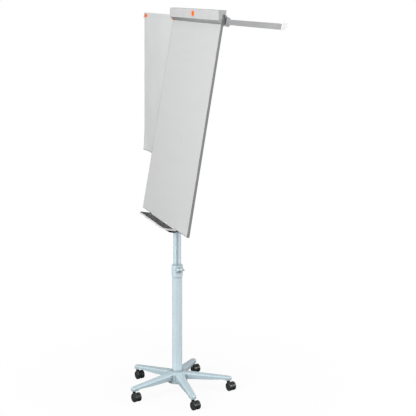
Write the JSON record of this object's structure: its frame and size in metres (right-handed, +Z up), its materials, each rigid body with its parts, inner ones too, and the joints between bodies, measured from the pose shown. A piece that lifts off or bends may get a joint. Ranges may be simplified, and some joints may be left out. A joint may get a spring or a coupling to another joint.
{
  "type": "flipchart easel",
  "caption": "Mobile flipchart easel: castor star base, height-adjustable mast, tilting magnetic board with pad clamp, pen tray and telescoping side arms holding a hung sheet.",
  "frame": {"origin": "on the floor, on the axis of the mast", "axes": "+Z up; the board faces -Y; +X is to the reader's right"},
  "size_m": [1.926, 0.5208, 1.8563],
  "materials": {
    "painted_cast": "satin pale blue-grey paint on castings",
    "painted_tube": "satin pale blue-grey paint on tubes",
    "steel": "zinc-plated steel",
    "pale_plastic": "moulded pale blue-grey nylon",
    "black_steel": "blackened steel",
    "black_plastic": "moulded black nylon",
    "castor_tread": "smooth black nylon wheel",
    "writing_surface": "lacquered magnetic steel, light grey-white",
    "core_board": "pressed board core",
    "back_sheet": "galvanised backing sheet, grey",
    "frame_grey": "dark grey edging",
    "tray_white": "light grey-white moulding",
    "tray_liner": "ribbed dark grey liner",
    "bracket_grey": "dark grey painted bracket",
    "clamp_white": "powder-coated light grey-white",
    "cap_grey": "mid grey moulding",
    "accent_orange": "orange plastic",
    "aluminium": "anodised extrusion",
    "end_white": "white moulding",
    "sheet": "white flipchart sheet"
  },
  "bodies": {
    "base": {"base_star": "painted_cast", "hub_bolt": "steel", "castor_stems": "black_steel", "lower_tube": "painted_tube", "tube_plug": "black_plastic", "guide_bush": "pale_plastic", "clamp_collar": "painted_tube"},
    "clamp_screw": {"clamp_screw": "painted_tube"},
    "mast": {"upper_tube": "painted_tube", "tube_glide": "black_plastic", "tilt_head": "black_plastic", "tilt_bolt": "steel", "friction_washers": "tray_liner"},
    "tilt_knob": {"tilt_knob": "black_plastic"},
    "board": {"board_bracket": "bracket_grey", "bracket_screws": "steel", "writing_panel": "writing_surface", "panel_core": "core_board", "back_panel": "back_sheet", "side_frames": "frame_grey", "bottom_frame": "frame_grey", "tray_bracket": "bracket_grey", "pen_tray": "tray_white", "tray_mat": "tray_liner", "tray_screws": "steel", "header_rail": "clamp_white", "end_caps": "cap_grey", "hinge_pins": "steel", "flap_springs": "steel", "arm_rail": "aluminium", "rail_screws": "steel", "rail_end_left": "cap_grey", "rail_end_right": "cap_grey"},
    "clamp_flap": {"clamp_flap": "clamp_white", "latch_spring": "steel"},
    "latch_button": {"latch_button": "accent_orange"},
    "pad_hook_left": {"pad_hook_left": "black_plastic"},
    "pad_hook_right": {"pad_hook_right": "black_plastic"},
    "left_arm": {"left_arm": "aluminium", "left_arm_end": "end_white", "sheet_pegs": "accent_orange", "binding_strip": "sheet"},
    "right_arm": {"right_arm": "aluminium", "right_arm_end": "end_white"},
    "hung_sheet": {"display_sheet": "sheet"},
    "castor_1": {"castor_1_hood": "black_plastic"},
    "castor_1_wheel_a": {"castor_1_wheel_a": "castor_tread"},
    "castor_1_wheel_b": {"castor_1_wheel_b": "castor_tread"},
    "castor_2": {"castor_2_hood": "black_plastic"},
    "castor_2_wheel_a": {"castor_2_wheel_a": "castor_tread"},
    "castor_2_wheel_b": {"castor_2_wheel_b": "castor_tread"},
    "castor_3": {"castor_3_hood": "black_plastic"},
    "castor_3_wheel_a": {"castor_3_wheel_a": "castor_tread"},
    "castor_3_wheel_b": {"castor_3_wheel_b": "castor_tread"},
    "castor_4": {"castor_4_hood": "black_plastic"},
    "castor_4_wheel_a": {"castor_4_wheel_a": "castor_tread"},
    "castor_4_wheel_b": {"castor_4_wheel_b": "castor_tread"},
    "castor_5": {"castor_5_hood": "black_plastic"},
    "castor_5_wheel_a": {"castor_5_wheel_a": "castor_tread"},
    "castor_5_wheel_b": {"castor_5_wheel_b": "castor_tread"}
  },
  "joints": [
    {"name": "castor_1_swivel", "type": "hinge", "parent": "base", "child": "castor_1", "pos_m": [0.24991, -0.00654, 0.03], "axis": [0, 0, 1], "continuous": true},
    {"name": "castor_1_roll_a", "type": "hinge", "parent": "castor_1", "child": "castor_1_wheel_a", "pos_m": [0.27239, -0.01237, 0.02], "axis": [-0.2756, 0.9613, 0], "continuous": true},
    {"name": "castor_1_roll_b", "type": "hinge", "parent": "castor_1", "child": "castor_1_wheel_b", "pos_m": [0.26589, 0.01031, 0.02], "axis": [-0.2756, 0.9613, 0], "continuous": true},
    {"name": "castor_2_swivel", "type": "hinge", "parent": "base", "child": "castor_2", "pos_m": [0.08345, 0.23566, 0.03], "axis": [0, 0, 1], "continuous": true},
    {"name": "castor_2_roll_a", "type": "hinge", "parent": "castor_2", "child": "castor_2_wheel_a", "pos_m": [0.10593, 0.22983, 0.02], "axis": [-0.2756, 0.9613, 0], "continuous": true},
    {"name": "castor_2_roll_b", "type": "hinge", "parent": "castor_2", "child": "castor_2_wheel_b", "pos_m": [0.09942, 0.25252, 0.02], "axis": [-0.2756, 0.9613, 0], "continuous": true},
    {"name": "castor_3_swivel", "type": "hinge", "parent": "base", "child": "castor_3", "pos_m": [-0.19834, 0.15219, 0.03], "axis": [0, 0, 1], "continuous": true},
    {"name": "castor_3_roll_a", "type": "hinge", "parent": "castor_3", "child": "castor_3_wheel_a", "pos_m": [-0.17586, 0.14636, 0.02], "axis": [-0.2756, 0.9613, 0], "continuous": true},
    {"name": "castor_3_roll_b", "type": "hinge", "parent": "castor_3", "child": "castor_3_wheel_b", "pos_m": [-0.18237, 0.16905, 0.02], "axis": [-0.2756, 0.9613, 0], "continuous": true},
    {"name": "castor_4_swivel", "type": "hinge", "parent": "base", "child": "castor_4", "pos_m": [-0.20603, -0.1416, 0.03], "axis": [0, 0, 1], "continuous": true},
    {"name": "castor_4_roll_a", "type": "hinge", "parent": "castor_4", "child": "castor_4_wheel_a", "pos_m": [-0.18355, -0.14743, 0.02], "axis": [-0.2756, 0.9613, 0], "continuous": true},
    {"name": "castor_4_roll_b", "type": "hinge", "parent": "castor_4", "child": "castor_4_wheel_b", "pos_m": [-0.19006, -0.12475, 0.02], "axis": [-0.2756, 0.9613, 0], "continuous": true},
    {"name": "castor_5_swivel", "type": "hinge", "parent": "base", "child": "castor_5", "pos_m": [0.071, -0.2397, 0.03], "axis": [0, 0, 1], "continuous": true},
    {"name": "castor_5_roll_a", "type": "hinge", "parent": "castor_5", "child": "castor_5_wheel_a", "pos_m": [0.09348, -0.24554, 0.02], "axis": [-0.2756, 0.9613, 0], "continuous": true},
    {"name": "castor_5_roll_b", "type": "hinge", "parent": "castor_5", "child": "castor_5_wheel_b", "pos_m": [0.08698, -0.22285, 0.02], "axis": [-0.2756, 0.9613, 0], "continuous": true},
    {"name": "collar_screw_turn", "type": "hinge", "parent": "base", "child": "clamp_screw", "pos_m": [0.028, 0, 0.586], "axis": [0, 1, 0], "range_deg": [0, 360]},
    {"name": "mast_height", "type": "slide", "parent": "base", "child": "mast", "axis": [0, 0, 1], "range_m": [-0.3, 0.09]},
    {"name": "tilt_knob_turn", "type": "hinge", "parent": "mast", "child": "tilt_knob", "pos_m": [0.03, 0.00075, 0.98676], "axis": [1, 0, 0], "range_deg": [0, 360]},
    {"name": "board_tilt", "type": "hinge", "parent": "mast", "child": "board", "pos_m": [0, 0.00075, 0.98676], "axis": [-1, 0, 0], "range_deg": [-9.76, 60]},
    {"name": "flap_lift", "type": "hinge", "parent": "board", "child": "clamp_flap", "pos_m": [0, 0.08451, 1.85266], "axis": [-1, 0, 0], "range_deg": [0, 35], "deforming": ["flap_springs"]},
    {"name": "latch_press", "type": "slide", "parent": "clamp_flap", "child": "latch_button", "axis": [0, 1, 0], "range_m": [0, 0.002], "deforming": ["latch_spring"]},
    {"name": "left_hook_slide", "type": "slide", "parent": "board", "child": "pad_hook_left", "axis": [-1, 0, 0], "range_m": [-0.12, 0.06]},
    {"name": "right_hook_slide", "type": "slide", "parent": "board", "child": "pad_hook_right", "axis": [1, 0, 0], "range_m": [-0.12, 0.06]},
    {"name": "left_arm_slide", "type": "slide", "parent": "board", "child": "left_arm", "axis": [1, 0, 0], "range_m": [0, 0.55]},
    {"name": "right_arm_slide", "type": "slide", "parent": "board", "child": "right_arm", "axis": [-1, 0, 0], "range_m": [0, 0.55]},
    {"name": "sheet_hang", "type": "hinge", "parent": "left_arm", "child": "hung_sheet", "pos_m": [-0.6585, 0.11514, 1.78746], "axis": [-1, 0, 0], "range_deg": [-61, 10]}
  ],
  "couplings": [
    {"joint": "sheet_hang", "follows": "board_tilt", "ratio": -1}
  ]
}
